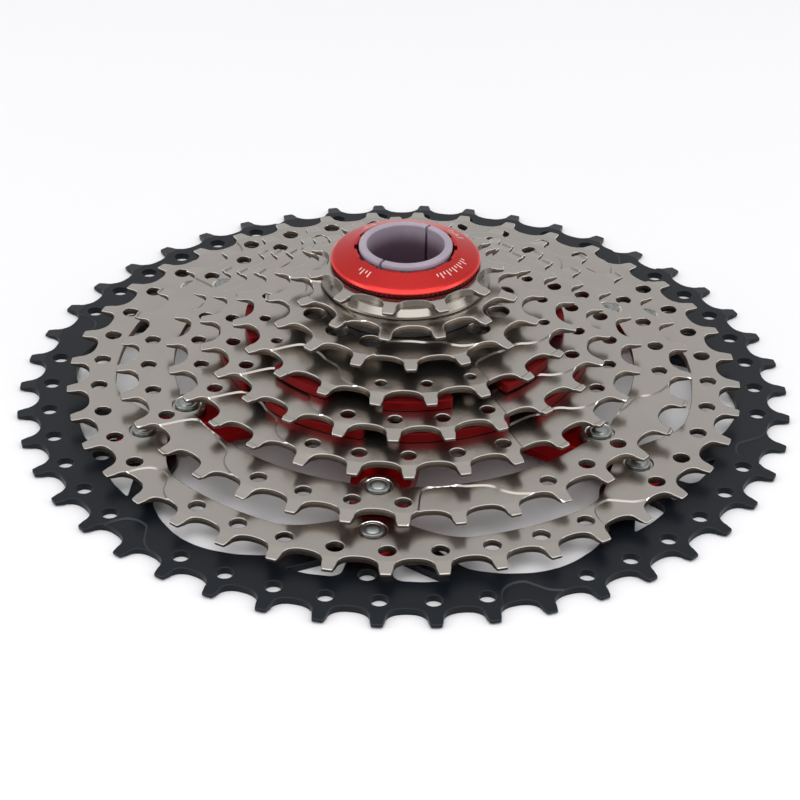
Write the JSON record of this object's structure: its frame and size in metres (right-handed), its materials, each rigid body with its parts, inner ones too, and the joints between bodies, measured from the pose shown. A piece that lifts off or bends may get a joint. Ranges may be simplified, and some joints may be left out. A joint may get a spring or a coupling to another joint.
{
  "type": "bicycle cassette",
  "caption": "Wide-range bicycle rear cassette: a stack of toothed sprockets on a red spider, closed by a red lock ring and held on a split plastic shipping core.",
  "frame": {"origin": "centre of the largest sprocket's back face, on the wheel axis, where the cassette rests on the ground", "axes": "+Z along the wheel axis from the largest sprocket to the smallest; tooth 0 of the largest sprocket points along +X"},
  "size_m": [0.1878, 0.1876, 0.0415],
  "materials": {
    "black_coat": "satin black electro-coat",
    "nickel": "satin nickel plate",
    "red_anodised": "red anodised",
    "rivet_steel": "bright zinc",
    "dark_plastic": "matt black",
    "frosted_plastic": "frosted translucent"
  },
  "bodies": {
    "core": {"shipping_core": "frosted_plastic"},
    "big_sprocket_block": {"spider_carrier": "red_anodised", "sprocket_46t": "black_coat", "sprocket_40t": "nickel", "sprocket_34t": "nickel", "outer_rivet_1": "rivet_steel", "outer_rivet_2": "rivet_steel", "outer_rivet_3": "rivet_steel", "outer_rivet_4": "rivet_steel", "outer_rivet_5": "rivet_steel", "outer_rivet_6": "rivet_steel", "inner_rivet_1": "rivet_steel", "inner_rivet_2": "rivet_steel", "inner_rivet_3": "rivet_steel", "inner_rivet_4": "rivet_steel", "inner_rivet_5": "rivet_steel", "inner_rivet_6": "rivet_steel"},
    "cog_28": {"sprocket_28t": "nickel"},
    "spacer_28_24": {"spacer_28_to_24": "red_anodised"},
    "cog_24": {"sprocket_24t": "nickel"},
    "spacer_24_20": {"spacer_24_to_20": "red_anodised"},
    "cog_20": {"sprocket_20t": "nickel"},
    "spacer_20_16": {"spacer_20_to_16": "dark_plastic"},
    "cog_16": {"sprocket_16t": "nickel"},
    "spacer_16_13": {"spacer_16_to_13": "dark_plastic"},
    "cog_13": {"sprocket_13t": "nickel"},
    "cog_11": {"sprocket_11t": "nickel"},
    "washer": {"lock_washer": "dark_plastic"},
    "ring": {"lockring": "red_anodised"}
  },
  "joints": [
    {"name": "big_sprocket_block_lift", "type": "slide", "parent": "core", "child": "big_sprocket_block", "axis": [0, 0, 1], "range_m": [0, 0.042]},
    {"name": "cog_28_lift", "type": "slide", "parent": "big_sprocket_block", "child": "cog_28", "axis": [0, 0, 1], "range_m": [0, 0.029]},
    {"name": "spacer_28_24_lift", "type": "slide", "parent": "cog_28", "child": "spacer_28_24", "axis": [0, 0, 1], "range_m": [0, 0.027]},
    {"name": "cog_24_lift", "type": "slide", "parent": "spacer_28_24", "child": "cog_24", "axis": [0, 0, 1], "range_m": [0, 0.025]},
    {"name": "spacer_24_20_lift", "type": "slide", "parent": "cog_24", "child": "spacer_24_20", "axis": [0, 0, 1], "range_m": [0, 0.023]},
    {"name": "cog_20_lift", "type": "slide", "parent": "spacer_24_20", "child": "cog_20", "axis": [0, 0, 1], "range_m": [0, 0.02]},
    {"name": "spacer_20_16_lift", "type": "slide", "parent": "cog_20", "child": "spacer_20_16", "axis": [0, 0, 1], "range_m": [0, 0.018]},
    {"name": "cog_16_lift", "type": "slide", "parent": "spacer_20_16", "child": "cog_16", "axis": [0, 0, 1], "range_m": [0, 0.016]},
    {"name": "spacer_16_13_lift", "type": "slide", "parent": "cog_16", "child": "spacer_16_13", "axis": [0, 0, 1], "range_m": [0, 0.014]},
    {"name": "cog_13_lift", "type": "slide", "parent": "spacer_16_13", "child": "cog_13", "axis": [0, 0, 1], "range_m": [0, 0.0115]},
    {"name": "cog_11_lift", "type": "slide", "parent": "cog_13", "child": "cog_11", "axis": [0, 0, 1], "range_m": [0, 0.0095]},
    {"name": "lockring_lift", "type": "slide", "parent": "cog_11", "child": "washer", "axis": [0, 0, 1], "range_m": [0, 0.0052]},
    {"name": "lockring_turn", "type": "hinge", "parent": "washer", "child": "ring", "pos_m": [0, 0, 0.0375], "axis": [0, 0, 1], "range_deg": [0, 1800]}
  ],
  "couplings": [
    {"joint": "lockring_turn", "follows": "lockring_lift", "rad_per_m": 5936.9}
  ]
}
